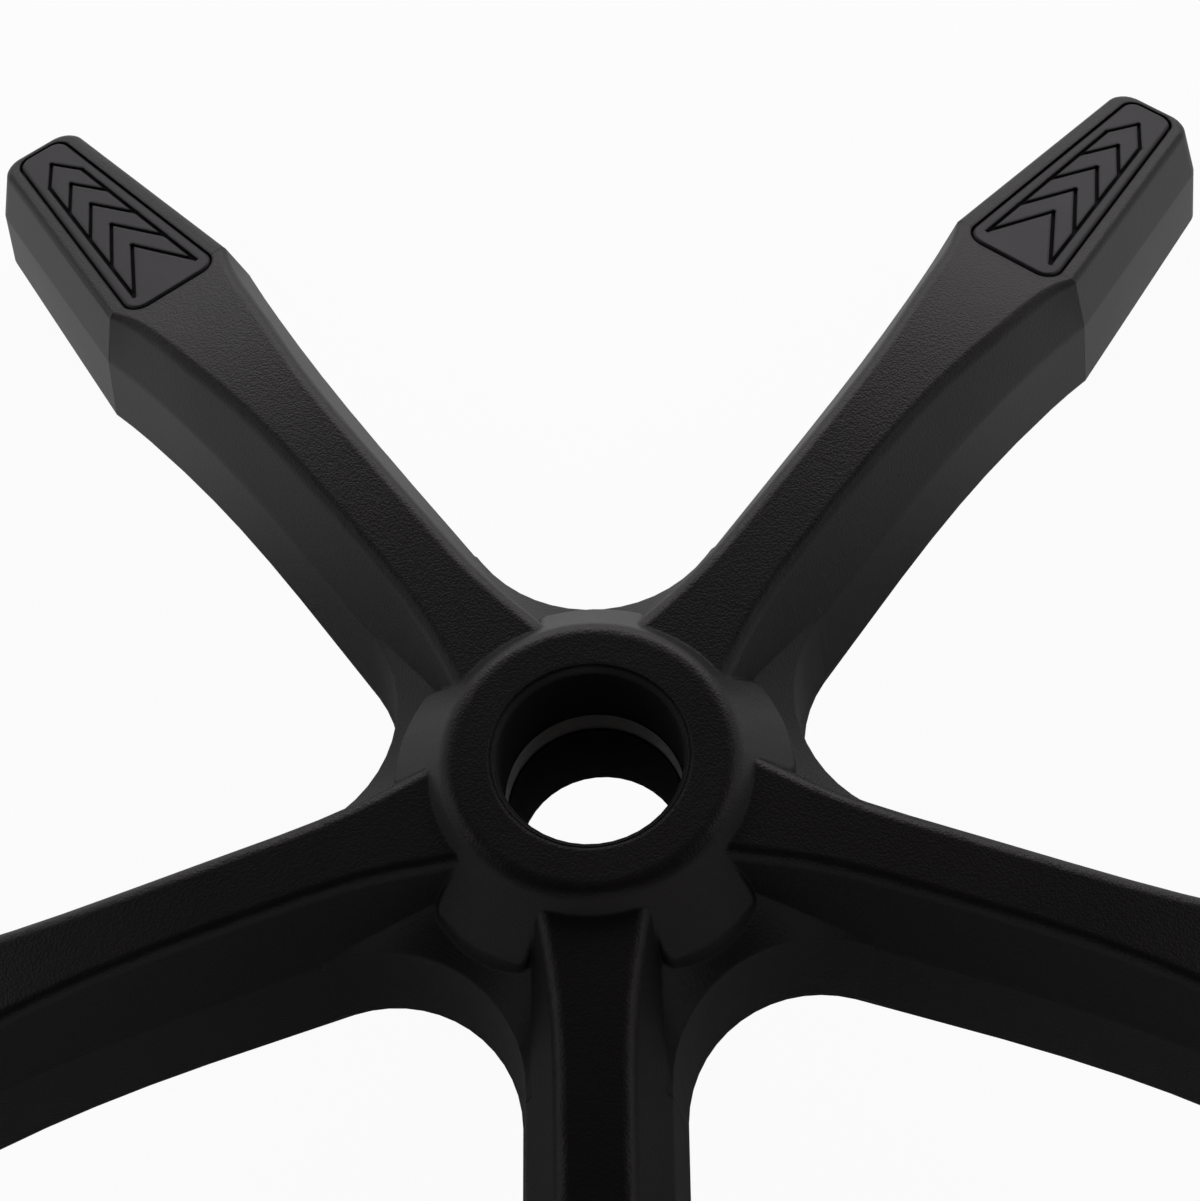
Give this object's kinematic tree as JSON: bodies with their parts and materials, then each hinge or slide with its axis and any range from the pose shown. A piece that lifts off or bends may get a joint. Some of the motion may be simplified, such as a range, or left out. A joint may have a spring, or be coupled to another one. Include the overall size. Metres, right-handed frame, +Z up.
{
  "type": "office chair five star base",
  "caption": "Star-shaped chair base with arms round a tapered gas-lift hub, ribbed underside, castor sockets and chevron foot pads at the arm ends",
  "frame": {"origin": "on the axis of the gas-lift bore, at the top of its straight wall, 1.95 mm below the hub's flat top ring", "axes": "+Z up along the bore, -Y along the front arm, +X to the right of the picture"},
  "size_m": [0.6186, 0.5894, 0.1069],
  "materials": {
    "moulded_nylon": "fine leather grain",
    "pad_plastic": "smooth satin",
    "collar_steel": "turned, dark oxide"
  },
  "bodies": {
    "root": {"base_moulding": "moulded_nylon", "bore_collar": "collar_steel", "pad_front": "pad_plastic", "pad_right": "pad_plastic", "pad_back_right": "pad_plastic", "pad_back_left": "pad_plastic", "pad_left": "pad_plastic"}
  },
  "joints": []
}
